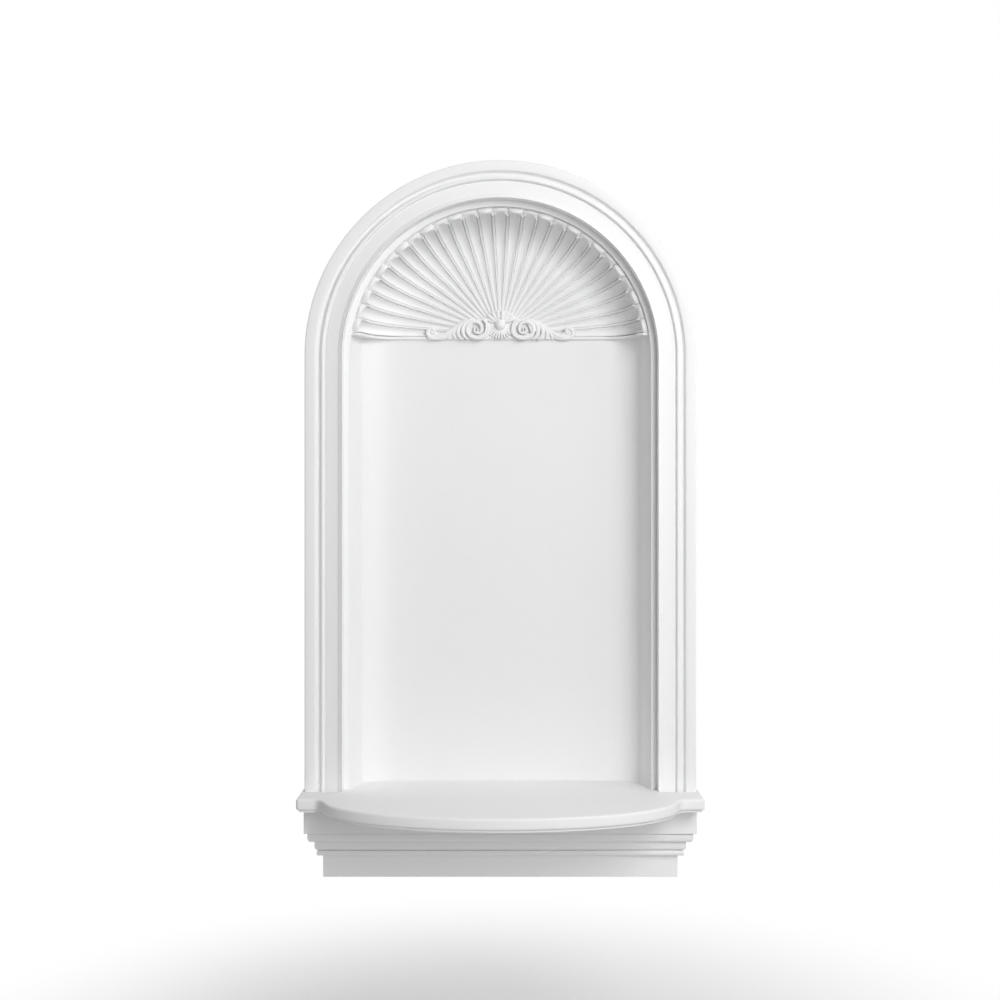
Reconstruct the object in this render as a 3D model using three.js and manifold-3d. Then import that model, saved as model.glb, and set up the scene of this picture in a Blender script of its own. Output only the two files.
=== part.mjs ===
// A tall arched wall niche, moulded in one light material and painted flat white. It is let into a wall.
// Sizes are in millimetres: X runs across the niche, Y into the wall and Z up. The origin is the middle
// of the apron's flat back, on the face of the wall, so whatever is behind Y = 0 is inside the wall.
import * as THREE from 'three';
import { mergeVertices } from 'three/addons/utils/BufferGeometryUtils.js';
import Module from 'manifold-3d';

const wasm = await Module();
wasm.setup();

// Clearance left between two pieces that touch, and how near two corners are to count as one
const jointGap = 0.3;
const sameCorner = 1e-4;

// Opening of the arch and the level at which its straight legs end, above the shelf top
const openingWidth = 617;
const springHeight = 851;

// Section of the casing, from its inner edge outwards and from the wall forwards
const casingWidth = 73.5;
const backBandWidth = 19.5;
const backBandDepth = 32;
const coveWidth = 9;
const casingBeadWidth = 10;
const casingBeadRise = 4.5;
const fasciaDepth = 26;
const fasciaStep = 2.5;
const quirkBeadWidth = 7;
const quirkDepth = 2.5;
const quirkWidth = 1;
const arrisRadius = 2;
const beadPeakShare = 0.4;
const covePeakShare = 0.75;

// Flange of the recess, screwed to the wall and covered by the casing
const flangeThickness = 6;
const flangeLap = 21.5;

// Recess behind the wall: mouth, splayed sides, rounded back corners, back and wall thickness
const mouthWidth = 594;
const recessDepth = 80;
const sideWallDepth = 40;
const sideWallSplay = 16;
const cornerWidth = 64;
const wallThickness = 8;

// Shell head: how high its base is above the spring line, its flutes, and their lips, which flare at the
// mouth. The flat shares say how much of the radius is flat, inside the shell and on its plain outside.
const shellBaseRise = 47.5;
const fluteCount = 27;
const fluteDepth = 7;
const lipFlare = 9;
const lipRun = 8;
const filletShare = 0.18;
const shellFlatShare = 0.5;
const outerFlatShare = 0.6;
const shellRunOut = 6;

// Ledge that runs round the recess under the shell, and how far it comes out past the foot of the fillets
const ledgeHeight = 9;
const ledgeProjection = 6;
const ledgeLip = 1;
const ledgeRootShare = 0.9;

// Shelf board: thickness, rounded edge, square ears and bowed front
const shelfThickness = 26;
const noseRadius = 8;
const shelfWidth = 779;
const earLength = 33.5;
const earDepth = 100;
const bowDepth = 165;
const bowWidth = 676;
const bowBlend = 26;
const seatDepth = 3;

// Apron: heights of its members from the top down, how far each steps in, and the frieze
const friezeHeight = 51.5;
const ovoloHeight = 18;
const bandHeight = 19;
const beadHeight = 11;
const baseBlockHeight = 44;
const friezeWidth = 762;
const friezeDepth = 50;
const ovoloInset = 6;
const ovoloRoll = 5.5;
const bandInset = 7;
const bandRoll = 7;
const beadBulge = 3.5;
const baseBlockInset = 8;

// Applied scroll ornament: how far its foot hangs below the shell's base, and its parts above that foot.
// Its arms run on a little past the flat back of the shell, and its backing stops as far inside it.
const ornamentDrop = 7.5;
const ornamentHeight = 66;
const ornamentThickness = 22;
const armOverrun = 9;
const ballRadius = 10;
const ballRise = 33;
const voluteSpacing = 77;
const voluteRise = 29;
const voluteRadius = 20;
const voluteTurns = 1.5;
const foldCount = 3;
const crestLobes = 5;
const footRays = 7;
const backingThickness = 12;

// Fineness of the curves. An outline's arc or ellipse has two chords for each of its steps.
const archSteps = 16;
const cornerSteps = 4;
const fluteSteps = 4;
const shellSteps = 4;
const domeColumns = 36;
const domeSteps = 4;
const bowSteps = 7;
const noseSteps = 3;
const scrollSides = 6;

// Levels and half widths worked out from the sizes above
const halfOpening = openingWidth / 2;
const halfMouth = mouthWidth / 2;
const apronHeight = friezeHeight + ovoloHeight + bandHeight + beadHeight + baseBlockHeight;
const apronTop = apronHeight / 2;
const shelfUnderside = apronTop + jointGap;
const shelfTop = shelfUnderside + shelfThickness;
const seatLevel = shelfTop - seatDepth + jointGap;
const springLevel = shelfTop + springHeight;
const shellBase = springLevel + shellBaseRise;
const ledgeTop = shellBase + ledgeHeight / 2;
const ledgeUnderside = shellBase - ledgeHeight / 2;
const flangeReach = halfOpening + flangeLap;
const forwardRun = flangeThickness + shellRunOut;
const beyondBack = 2 * recessDepth;
const shellRim = halfMouth - fluteDepth - lipFlare;
const shellFoot = Math.sqrt(shellRim ** 2 - shellBaseRise ** 2);
const shellFlatReach = shellFlatShare * shellRim;
const ornamentReach = shellFlatReach + armOverrun;
const backingReach = shellFlatReach - armOverrun;
const ornamentFoot = shellBase - ornamentDrop;

// Joins and cuts work on closed bodies whose shared corners are merged
function body(geometry) {
  const bare = geometry.clone();
  bare.deleteAttribute('normal');
  bare.deleteAttribute('uv');
  const merged = mergeVertices(bare, sameCorner);
  const corners = merged.index.array;
  const triangles = [];
  for (let i = 0; i < corners.length; i += 3) {
    const [a, b, c] = corners.subarray(i, i + 3);
    if (a !== b && b !== c && c !== a) triangles.push(a, b, c);
  }
  return new wasm.Manifold(new wasm.Mesh({
    numProp: 3,
    vertProperties: Float32Array.from(merged.attributes.position.array),
    triVerts: Uint32Array.from(triangles),
  }));
}

function geometryOf(solid) {
  const mesh = solid.getMesh();
  const geometry = new THREE.BufferGeometry();
  geometry.setAttribute('position', new THREE.BufferAttribute(mesh.vertProperties, 3));
  geometry.setIndex(new THREE.BufferAttribute(mesh.triVerts, 1));
  geometry.computeVertexNormals();
  return geometry;
}

function unionOf(solids) {
  return solids.reduce((whole, piece) => whole.add(piece));
}

// An outline drawn in X and Z, given thickness from one Y to another
function slab(shape, fromY, toY, steps = cornerSteps) {
  const options = { depth: toY - fromY, bevelEnabled: false, curveSegments: steps };
  const geometry = new THREE.ExtrudeGeometry(shape, options);
  geometry.rotateX(Math.PI / 2);
  geometry.translate(0, toY, 0);
  return geometry;
}

// A plan drawn in X and Y, raised from one Z to another
function column(shape, fromZ, toZ, steps = cornerSteps) {
  const options = { depth: toZ - fromZ, bevelEnabled: false, curveSegments: steps };
  const geometry = new THREE.ExtrudeGeometry(shape, options);
  geometry.translate(0, 0, fromZ);
  return geometry;
}

function block(fromX, toX, fromY, toY, fromZ, toZ) {
  const geometry = new THREE.BoxGeometry(toX - fromX, toY - fromY, toZ - fromZ);
  geometry.translate((fromX + toX) / 2, (fromY + toY) / 2, (fromZ + toZ) / 2);
  return geometry;
}

// Two straight legs from a level up to the spring line, and a half circle on them
function archOutline(halfWidth, bottom) {
  const shape = new THREE.Shape();
  shape.moveTo(-halfWidth, bottom);
  shape.lineTo(halfWidth, bottom);
  shape.lineTo(halfWidth, springLevel);
  shape.absarc(0, springLevel, halfWidth, 0, Math.PI, false);
  shape.closePath();
  return shape;
}

// Plan of the recess, moved outwards by a distance: splayed sides, rounded corners and a flat back.
// It starts in front of the wall by the given run.
function recessPlan(outset, frontRun) {
  const mouth = halfMouth + outset;
  const crease = mouth - sideWallSplay;
  const back = crease - cornerWidth;
  const cornerDepth = recessDepth - sideWallDepth;
  const creaseY = sideWallDepth + outset;
  const shape = new THREE.Shape();
  shape.moveTo(-mouth, -frontRun);
  shape.lineTo(mouth, -frontRun);
  shape.lineTo(mouth, 0);
  shape.lineTo(crease, creaseY);
  shape.absellipse(back, creaseY, cornerWidth, cornerDepth, 0, Math.PI / 2, false);
  shape.absellipse(-back, creaseY, cornerWidth, cornerDepth, Math.PI / 2, Math.PI, false);
  shape.lineTo(-mouth, 0);
  shape.closePath();
  return shape;
}

// Path along the inner edge of the arch, with its stations given one by one: a leg, the arc, a leg
class CasingPath extends THREE.Curve {
  constructor(halfWidth, bottom, top, chords) {
    super();
    this.halfWidth = halfWidth;
    this.bottom = bottom;
    this.top = top;
    this.chords = chords;
    this.steps = chords + 2;
  }

  turn(share) {
    const station = share * this.steps - 1;
    return Math.PI * (1 - THREE.MathUtils.clamp(station / this.chords, 0, 1));
  }

  getPoint(share) {
    if (share === 0) return new THREE.Vector3(-this.halfWidth, 0, this.bottom);
    if (share === 1) return new THREE.Vector3(this.halfWidth, 0, this.bottom);
    const angle = this.turn(share);
    const z = this.top + this.halfWidth * Math.sin(angle);
    return new THREE.Vector3(this.halfWidth * Math.cos(angle), 0, z);
  }

  getPointAt(share) {
    return this.getPoint(share);
  }

  getTangentAt(share) {
    const angle = this.turn(share);
    return new THREE.Vector3(Math.sin(angle), 0, -Math.cos(angle));
  }
}

// Section of the casing: X is the distance from the wall forwards, Y the distance inwards, so the
// points run at minus the distance from the inner edge
function casingSection() {
  const stepStart = casingWidth - backBandWidth - coveWidth - casingBeadWidth - fasciaStep;
  const beadStart = stepStart + fasciaStep / 2;
  const beadBase = fasciaDepth + fasciaStep / 2;
  const coveStart = casingWidth - backBandWidth - coveWidth;
  const bandStart = casingWidth - backBandWidth;
  const rebateDepth = flangeThickness + jointGap;
  const rebateWidth = flangeLap + jointGap;
  const quirkRadius = quirkBeadWidth / 2;
  const shape = new THREE.Shape();
  shape.moveTo(0, -rebateWidth);
  shape.lineTo(rebateDepth, -rebateWidth);
  shape.lineTo(rebateDepth, 0);
  shape.lineTo(fasciaDepth - quirkRadius, 0);
  shape.absarc(fasciaDepth - quirkRadius, -quirkRadius, quirkRadius, Math.PI / 2, -Math.PI / 4, true);
  shape.lineTo(fasciaDepth - quirkDepth, -quirkBeadWidth - quirkWidth / 2);
  shape.lineTo(fasciaDepth, -quirkBeadWidth - quirkWidth);
  shape.lineTo(fasciaDepth, -stepStart);
  shape.lineTo(beadBase, -beadStart);
  const beadPeak = beadStart + casingBeadWidth * beadPeakShare;
  shape.quadraticCurveTo(beadBase + 2 * casingBeadRise, -beadPeak, fasciaDepth, -coveStart);
  const covePeak = coveStart + coveWidth * covePeakShare;
  shape.quadraticCurveTo(fasciaDepth, -covePeak, backBandDepth - arrisRadius, -bandStart);
  shape.lineTo(backBandDepth, -(bandStart + arrisRadius));
  shape.lineTo(backBandDepth, -(casingWidth - arrisRadius));
  shape.lineTo(backBandDepth - arrisRadius, -casingWidth);
  shape.lineTo(0, -casingWidth);
  shape.closePath();
  return shape;
}

function makeSurround() {
  const path = new CasingPath(halfOpening, seatLevel, springLevel, 2 * archSteps);
  const options = { steps: path.steps, extrudePath: path, curveSegments: 4, bevelEnabled: false };
  return new THREE.ExtrudeGeometry(casingSection(), options);
}

// Distance of the shell's surface behind the wall, at a share of the way from focus to rim
function shellDepthAt(share) {
  const curved = Math.max(0, (share - shellFlatShare) / (1 - shellFlatShare));
  return recessDepth * Math.sqrt(Math.max(0, 1 - curved * curved));
}

// Direction into the shell's wall there: along the radius at the rim, and straight back on the flat part
function outwardAt(share, radius) {
  const curved = Math.max(0, (share - shellFlatShare) / (1 - shellFlatShare));
  const depth = Math.sqrt(Math.max(0, 1 - curved * curved));
  return new THREE.Vector2(recessDepth * curved, radius * (1 - shellFlatShare) * depth).normalize();
}

// Columns of the fan, left to right: the place across the flutes and the depth of the flute there
function fluteColumns() {
  const columns = [{ place: 0, cut: 0 }];
  for (let flute = 0; flute < fluteCount; flute += 1) {
    for (let step = 0; step <= fluteSteps; step += 1) {
      const across = step / fluteSteps;
      const place = (flute + filletShare / 2 + (1 - filletShare) * across) / fluteCount;
      columns.push({ place, cut: Math.sqrt(1 - (2 * across - 1) ** 2) });
    }
  }
  columns.push({ place: 1, cut: 0 });
  return columns;
}

// The hollow of the shell head: a fluted lens round the focus, cut off just below the shell's base
function makeShellHollow() {
  const fan = fluteColumns();
  const around = [
    ...fan.map((column) => ({ ...column, side: 1 })),
    ...fan.slice(1, -1).reverse().map((column) => ({ ...column, side: -1 })),
  ];
  const lip = fluteDepth + lipFlare;
  const rows = [
    { share: 0, depth: -forwardRun, cut: 0 },
    { share: 1, depth: -forwardRun, cut: lip },
    { share: 1, depth: 0, cut: lip },
    { share: 1, depth: lipRun, cut: fluteDepth },
  ];
  for (let step = 1; step <= shellSteps; step += 1) {
    const curved = Math.cos((step / shellSteps) * (Math.PI / 2));
    const share = shellFlatShare + (1 - shellFlatShare) * curved;
    rows.push({ share, depth: shellDepthAt(share), cut: fluteDepth * share });
  }
  const middle = shellFlatShare / 2;
  rows.push({ share: middle, depth: recessDepth, cut: fluteDepth * middle });
  rows.push({ share: 0, depth: recessDepth, cut: 0 });

  const outline = rows.map((row, i) => new THREE.Vector2(row.share, i));
  const geometry = new THREE.LatheGeometry(outline, around.length);
  const positions = geometry.attributes.position;
  const firstAngle = Math.asin(shellBaseRise / shellRim);

  for (let i = 0; i <= around.length; i += 1) {
    const { place, cut, side } = around[i % around.length];
    const angle = Math.PI - firstAngle - place * (Math.PI - 2 * firstAngle);
    const toRim = new THREE.Vector2(Math.cos(angle), Math.sin(angle)).multiplyScalar(shellRim);
    toRim.y -= shellBaseRise;
    const radius = toRim.length();
    toRim.divideScalar(radius);
    rows.forEach((row, j) => {
      const outward = outwardAt(row.share, radius);
      const along = row.share * radius + outward.x * row.cut * cut;
      const x = toRim.x * along;
      const z = shellBase + side * toRim.y * along;
      positions.setXYZ(i * rows.length + j, x, row.depth + outward.y * row.cut * cut, z);
    });
  }
  const reach = openingWidth;
  const upperHalf = block(-reach, reach, -reach, reach, shellBase - ledgeHeight / 4, shellBase + reach);
  return body(geometry).intersect(body(upperHalf));
}

// The plain outside of the head: a shallow dome about the spring centre
function makeOuterDome() {
  const radius = halfMouth + wallThickness;
  const depth = recessDepth + wallThickness + fluteDepth * shellFlatShare;
  const flat = radius * outerFlatShare;
  const outline = [new THREE.Vector2(0, 0), new THREE.Vector2(radius, 0)];
  for (let step = 1; step <= domeSteps; step += 1) {
    const angle = (step / domeSteps) * (Math.PI / 2);
    outline.push(new THREE.Vector2(flat + (radius - flat) * Math.cos(angle), depth * Math.sin(angle)));
  }
  outline.push(new THREE.Vector2(0, depth));
  const geometry = new THREE.LatheGeometry(outline, domeColumns);
  geometry.rotateY(Math.PI / domeColumns);
  geometry.translate(0, 0, springLevel);
  const reach = radius + wallThickness;
  const upperHalf = block(-reach, reach, -1, depth + 1, springLevel, springLevel + reach);
  return body(geometry).intersect(body(upperHalf));
}

function makeRecessShell() {
  const outerPlan = column(recessPlan(wallThickness, 0), seatLevel, ledgeTop);
  const outerArch = slab(archOutline(halfMouth + wallThickness, seatLevel), -1, beyondBack, archSteps);
  const outerBody = body(outerPlan).intersect(body(outerArch));
  const flange = body(slab(archOutline(flangeReach, seatLevel), -flangeThickness, 0, archSteps));

  const hollowBottom = seatLevel - shellRunOut;
  const hollowPlan = column(recessPlan(0, forwardRun), hollowBottom, shellBase);
  const hollowArch = slab(archOutline(halfMouth, hollowBottom), -forwardRun - 1, beyondBack, archSteps);
  const hollow = body(hollowPlan).intersect(body(hollowArch)).add(makeShellHollow());

  return geometryOf(unionOf([outerBody, makeOuterDome(), flange]).subtract(hollow).add(makeLedge()));
}

// The ledge under the shell follows the plan of the walls and comes out to the foot of the fillets
function makeLedge() {
  const root = wallThickness * ledgeRootShare;
  const plan = column(recessPlan(root, flangeThickness / 2), ledgeUnderside, ledgeTop);
  const arch = slab(archOutline(halfMouth + root, seatLevel), -forwardRun, beyondBack, archSteps);
  const inset = halfMouth - shellFoot + ledgeLip;
  const inner = column(recessPlan(-inset, forwardRun + inset), ledgeUnderside - 1, ledgeTop + 1);
  inner.translate(0, inset - ledgeProjection, 0);
  return body(plan).intersect(body(arch)).subtract(body(inner));
}

// Front of the shelf in plan: a square ear, a hollow blend, the bow, and the same on the other side
function shelfFrontPlan(backY) {
  const halfWidth = shelfWidth / 2;
  const halfBow = bowWidth / 2;
  const blendAngle = Math.asin(bowBlend / bowDepth);
  const blendX = halfBow * Math.cos(blendAngle);
  const blendY = -earDepth - bowBlend;
  const tangentRun = (halfBow * Math.sin(blendAngle) * bowBlend) / (bowDepth * Math.cos(blendAngle));
  const shape = new THREE.Shape();
  shape.moveTo(-halfWidth, backY);
  shape.lineTo(-halfWidth, -earDepth);
  shape.lineTo(-halfWidth + earLength, -earDepth);
  shape.quadraticCurveTo(-blendX - tangentRun, -earDepth, -blendX, blendY);
  shape.absellipse(0, -earDepth, halfBow, bowDepth, Math.PI + blendAngle, 1.5 * Math.PI, false);
  shape.absellipse(0, -earDepth, halfBow, bowDepth, 1.5 * Math.PI, 2 * Math.PI - blendAngle, false);
  shape.quadraticCurveTo(blendX + tangentRun, -earDepth, halfWidth - earLength, -earDepth);
  shape.lineTo(halfWidth, -earDepth);
  shape.lineTo(halfWidth, backY);
  shape.closePath();
  return shape;
}

function makeShelf() {
  const beyondWall = 4 * noseRadius;
  const options = {
    depth: shelfThickness - 2 * noseRadius,
    bevelThickness: noseRadius,
    bevelSize: noseRadius,
    bevelOffset: -noseRadius,
    bevelSegments: noseSteps,
    curveSegments: bowSteps,
  };
  const rounded = new THREE.ExtrudeGeometry(shelfFrontPlan(beyondWall), options);
  rounded.translate(0, 0, shelfUnderside + noseRadius);
  const insideWall = block(-shelfWidth, shelfWidth, 0, 2 * beyondWall, 0, 2 * shelfTop);
  const front = body(rounded).subtract(body(insideWall));
  const tongue = body(column(recessPlan(wallThickness, noseRadius), shelfUnderside, shelfTop));

  const seatFloor = shelfTop - seatDepth;
  const above = shelfTop + 1;
  const wallSeat = body(column(recessPlan(wallThickness + jointGap, 0), seatFloor, above))
    .subtract(body(column(recessPlan(-jointGap, 1), seatFloor - 1, above + 1)));
  const seats = [wallSeat];
  for (const side of [-1, 1]) {
    const reach = (halfOpening + casingWidth + jointGap) * side;
    const casingInner = (halfOpening - jointGap) * side;
    const flangeInner = (halfMouth - jointGap) * side;
    const [x0, x1] = [Math.min(reach, casingInner), Math.max(reach, casingInner)];
    const [x2, x3] = [Math.min(reach, flangeInner), Math.max(reach, flangeInner)];
    seats.push(body(block(x0, x1, -backBandDepth - jointGap, 1, seatFloor, above)));
    seats.push(body(block(x2, x3, -flangeThickness - jointGap, 1, seatFloor, above)));
  }
  return geometryOf(front.add(tongue).subtract(unionOf(seats)));
}

// Section of the apron from the top down: each point's height and its distance in from the frieze
function apronMembers() {
  const ovoloTop = apronTop - friezeHeight;
  const bandTop = ovoloTop - ovoloHeight;
  const beadTop = bandTop - bandHeight;
  const baseTop = beadTop - beadHeight;
  const bandStart = ovoloInset + ovoloRoll + bandInset;
  const beadStart = bandStart + bandRoll;
  const beadNose = beadStart - beadBulge;
  return [
    { z: apronTop, inset: 0 },
    { z: ovoloTop, inset: 0 },
    { z: ovoloTop, inset: ovoloInset },
    { z: ovoloTop - ovoloHeight / 2, inset: ovoloInset + ovoloRoll / 7 },
    { z: bandTop + ovoloHeight / 6, inset: ovoloInset + ovoloRoll / 2 },
    { z: bandTop, inset: ovoloInset + ovoloRoll },
    { z: bandTop, inset: bandStart },
    { z: beadTop + bandHeight / 3, inset: bandStart },
    { z: beadTop + bandHeight / 10, inset: bandStart + bandRoll / 3 },
    { z: beadTop, inset: beadStart },
    { z: beadTop - beadHeight / 5, inset: beadNose + beadBulge / 4 },
    { z: beadTop - beadHeight / 2, inset: beadNose },
    { z: baseTop + beadHeight / 5, inset: beadNose + beadBulge / 4 },
    { z: baseTop, inset: beadStart },
    { z: baseTop, inset: beadStart + baseBlockInset },
    { z: baseTop - baseBlockHeight, inset: beadStart + baseBlockInset },
  ];
}

// The same members run across the front and return to the wall at both ends
function makeApron() {
  const members = apronMembers();
  const halfWidth = friezeWidth / 2;
  const frontView = new THREE.Shape([
    ...members.map(({ z, inset }) => new THREE.Vector2(halfWidth - inset, z)),
    ...members.toReversed().map(({ z, inset }) => new THREE.Vector2(inset - halfWidth, z)),
  ]);
  const first = members[0];
  const last = members[members.length - 1];
  const endView = new THREE.Shape([
    new THREE.Vector2(0, last.z),
    new THREE.Vector2(0, first.z),
    ...members.map(({ z, inset }) => new THREE.Vector2(inset - friezeDepth, z)),
  ]);
  const across = new THREE.ExtrudeGeometry(endView, { depth: 2 * friezeWidth, bevelEnabled: false });
  const turn = new THREE.Matrix4().makeBasis(
    new THREE.Vector3(0, 1, 0),
    new THREE.Vector3(0, 0, 1),
    new THREE.Vector3(1, 0, 0),
  );
  across.applyMatrix4(turn);
  across.translate(-friezeWidth, 0, 0);
  const through = slab(frontView, -2 * friezeDepth, friezeDepth);
  return geometryOf(body(across).intersect(body(through)));
}

// A round member that follows points in X and Z and tapers from one end to the other
function scroll(points, depth, startRadius, endRadius, flatness, steps) {
  const curve = new THREE.CatmullRomCurve3(points.map(([x, z]) => new THREE.Vector3(x, depth, z)));
  const geometry = new THREE.CylinderGeometry(1, 1, 1, scrollSides, steps);
  const positions = geometry.attributes.position;
  const acrossWall = new THREE.Vector3(0, 1, 0);
  for (let i = 0; i < positions.count; i += 1) {
    const share = positions.getY(i) + 0.5;
    const radius = THREE.MathUtils.lerp(startRadius, endRadius, share);
    const side = curve.getTangentAt(share).cross(acrossWall).normalize();
    const point = curve.getPointAt(share);
    point.addScaledVector(side, positions.getX(i) * radius);
    point.addScaledVector(acrossWall, positions.getZ(i) * radius * flatness);
    positions.setXYZ(i, point.x, point.y, point.z);
  }
  return geometry;
}

// Points of a spiral that winds inwards
function spiralPoints(centreX, centreZ, outer, inner, startAngle, turns) {
  const count = Math.ceil(turns * 8);
  return Array.from({ length: count + 1 }, (_, i) => {
    const share = i / count;
    const radius = THREE.MathUtils.lerp(outer, inner, share);
    const angle = startAngle + share * turns * 2 * Math.PI;
    return [centreX + radius * Math.cos(angle), centreZ + radius * Math.sin(angle)];
  });
}

// One half of the ornament, drawn on the right and turned over for the left. Its members are shares of
// the ornament's height, of the volute or of the arm's reach.
function ornamentHalf(front) {
  const voluteX = voluteSpacing / 2;
  const voluteZ = ornamentFoot + voluteRise;
  const high = (share) => ornamentFoot + ornamentHeight * share;
  const stem = ornamentHeight / 10;
  const pieces = [];

  const outer = voluteRadius - stem * 0.6;
  const volute = spiralPoints(voluteX, voluteZ, outer, stem * 0.6, Math.PI * 1.25, voluteTurns);
  pieces.push(scroll(volute, front, stem * 0.85, stem * 0.45, 1.3, 10 * voluteTurns));
  const eye = stem * 0.75;
  pieces.push(scroll([[voluteX - eye, voluteZ], [voluteX + eye, voluteZ]], front, eye, eye, 1.4, 2));

  for (let fold = 0; fold < foldCount; fold += 1) {
    const x = voluteX + voluteRadius * (0.95 + 0.5 * fold);
    const top = voluteZ + voluteRadius * (0.75 - 0.45 * fold);
    const bend = [
      [x - voluteRadius * 0.6, top + voluteRadius * 0.1],
      [x - voluteRadius * 0.05, top - voluteRadius * 0.45],
      [x + voluteRadius * 0.05, high(0.21 - 0.03 * fold)],
      [x + voluteRadius * 0.2, high(0.075)],
    ];
    pieces.push(scroll(bend, front, stem * 0.45, stem * 0.7, 1.4, 5));
  }

  const curl = ornamentHeight * 0.13;
  const arm = [
    [voluteX, high(0.1)], [ornamentReach * 0.5, high(0.17)], [ornamentReach * 0.7, high(0.12)],
    [ornamentReach * 0.9, high(0.135)], [ornamentReach - curl / 2, high(0.26)],
    [ornamentReach - curl, high(0.39)], [ornamentReach - curl * 2, high(0.38)],
    [ornamentReach - curl * 2, high(0.27)],
  ];
  pieces.push(scroll(arm, front, stem, stem * 0.55, 1.1, 16));
  const leaf = [[ornamentReach * 0.46, high(0.21)], [ornamentReach * 0.6, high(0.03)]];
  pieces.push(scroll(leaf, front, stem * 0.9, stem * 0.25, 1, 4));
  return pieces.map(body);
}

// The crest of leaves over the ball: round lobes that spread from it, the middle one the longest
function crestLeaves(front, ballZ) {
  const stem = ornamentHeight / 10;
  const rise = ornamentFoot + ornamentHeight - ballZ;
  return Array.from({ length: crestLobes }, (_, i) => {
    const lobe = i - (crestLobes - 1) / 2;
    const lean = lobe * 0.42;
    const length = rise * (1 - 0.07 * Math.abs(lobe));
    const points = [0.15, 0.6, 0.97].map((share) => [
      Math.sin(lean) * length * share + lobe * stem / 4,
      ballZ + Math.cos(lean) * length * share,
    ]);
    return body(scroll(points, front, stem, stem / 3, 1.2, 3));
  });
}

// The rays under the ball fan out down to the foot
function footFan(front, ballZ) {
  const stem = ornamentHeight / 10;
  const length = (ballZ - ornamentFoot) * 0.82;
  return Array.from({ length: footRays }, (_, i) => {
    const lean = (i - (footRays - 1) / 2) * 0.2;
    const points = [0.2, 0.6, 1].map((share) => [
      Math.sin(lean) * length * share,
      ballZ - Math.cos(lean) * length * share,
    ]);
    return body(scroll(points, front + stem / 2, stem / 4, stem / 2, 1.2, 2));
  });
}

// Flat backing that the ornament is cast on. It stands on the ledge and follows the outline above it.
function ornamentBacking(back) {
  const foot = ledgeTop + jointGap;
  const voluteX = voluteSpacing / 2;
  const voluteZ = ornamentFoot + voluteRise;
  const armTop = foot + ornamentHeight * 0.14;
  const armWaist = foot + ornamentHeight * 0.045;
  const crestFoot = ornamentFoot + ornamentHeight * 0.86;
  const half = [
    [backingReach, foot],
    [backingReach, armTop],
    [backingReach * 0.68, armWaist],
    [voluteX + voluteRadius, voluteZ + voluteRadius * 0.4],
    [voluteX, voluteZ + voluteRadius * 0.85],
    [voluteX * 0.55, crestFoot],
  ];
  const right = half.map(([x, z]) => new THREE.Vector2(x, z));
  const left = half.toReversed().map(([x, z]) => new THREE.Vector2(-x, z));
  return body(slab(new THREE.Shape([...right, ...left]), back - backingThickness - ledgeProjection, back));
}

function makeCartouche() {
  const back = recessDepth - jointGap;
  const front = back - ledgeProjection - ornamentThickness / 2;
  const ballZ = ornamentFoot + ballRise;
  const right = unionOf(ornamentHalf(front));
  const ball = new THREE.SphereGeometry(ballRadius, 12, 8);
  ball.translate(0, front - ballRadius / 2, ballZ);
  return geometryOf(unionOf([
    right, right.mirror([1, 0, 0]), body(ball), ...crestLeaves(front, ballZ), ...footFan(front, ballZ),
    ornamentBacking(back),
  ]));
}

// Flat white paint over primer, a little warmer on the applied ornament
function paint(colour, roughness) {
  return new THREE.MeshStandardMaterial({ color: colour, roughness, metalness: 0 });
}

const pieces = [
  ['recess_shell', makeRecessShell(), paint(0xf1f1ef, 0.62)],
  ['arched_surround', makeSurround(), paint(0xf3f3f1, 0.58)],
  ['shelf', makeShelf(), paint(0xf4f4f2, 0.56)],
  ['apron', makeApron(), paint(0xf2f2f0, 0.58)],
  ['cartouche', makeCartouche(), paint(0xf3f2ee, 0.6)],
];

const niche = new THREE.Group();
for (const [name, geometry, material] of pieces) {
  const mesh = new THREE.Mesh(geometry, material);
  mesh.name = name;
  niche.add(mesh);
}

export default niche;
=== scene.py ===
"""A tall arched wall niche with a fluted shell head, painted flat white.

The recess, the moulded casing, the bow-fronted shelf, the stepped apron and the applied scroll ornament
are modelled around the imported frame. Everything is in metres: X runs across the niche, Y goes into the
wall and Z is up.
"""

import logging
import math
from dataclasses import dataclass, field
from enum import Enum
from typing import Callable, Sequence, Union

import bpy
import numpy as np
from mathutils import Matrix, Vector


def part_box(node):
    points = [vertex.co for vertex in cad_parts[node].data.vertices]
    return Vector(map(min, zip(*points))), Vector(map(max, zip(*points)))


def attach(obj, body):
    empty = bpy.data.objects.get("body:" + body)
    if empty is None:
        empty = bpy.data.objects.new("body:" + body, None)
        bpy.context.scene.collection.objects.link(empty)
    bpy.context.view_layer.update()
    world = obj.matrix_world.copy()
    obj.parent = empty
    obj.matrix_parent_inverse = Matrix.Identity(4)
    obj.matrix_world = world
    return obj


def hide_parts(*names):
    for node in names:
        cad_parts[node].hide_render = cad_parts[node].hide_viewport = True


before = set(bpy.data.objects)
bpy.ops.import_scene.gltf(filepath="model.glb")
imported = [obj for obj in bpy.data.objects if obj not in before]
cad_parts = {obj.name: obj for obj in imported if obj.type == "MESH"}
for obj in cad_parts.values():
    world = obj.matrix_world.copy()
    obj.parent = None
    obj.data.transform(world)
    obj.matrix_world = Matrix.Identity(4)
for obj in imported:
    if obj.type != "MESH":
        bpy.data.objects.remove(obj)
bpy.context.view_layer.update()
log = logging.getLogger("niche")

MM = 0.001
BODY = "root"

# Corners nearer than SAME_POINT are merged, a place is told by NEAR, and JOINT parts two pieces.
SAME_POINT = 2e-6
NEAR = 10 * SAME_POINT
JOINT = 0.3 * MM
Point = tuple[float, float, float]


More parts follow.
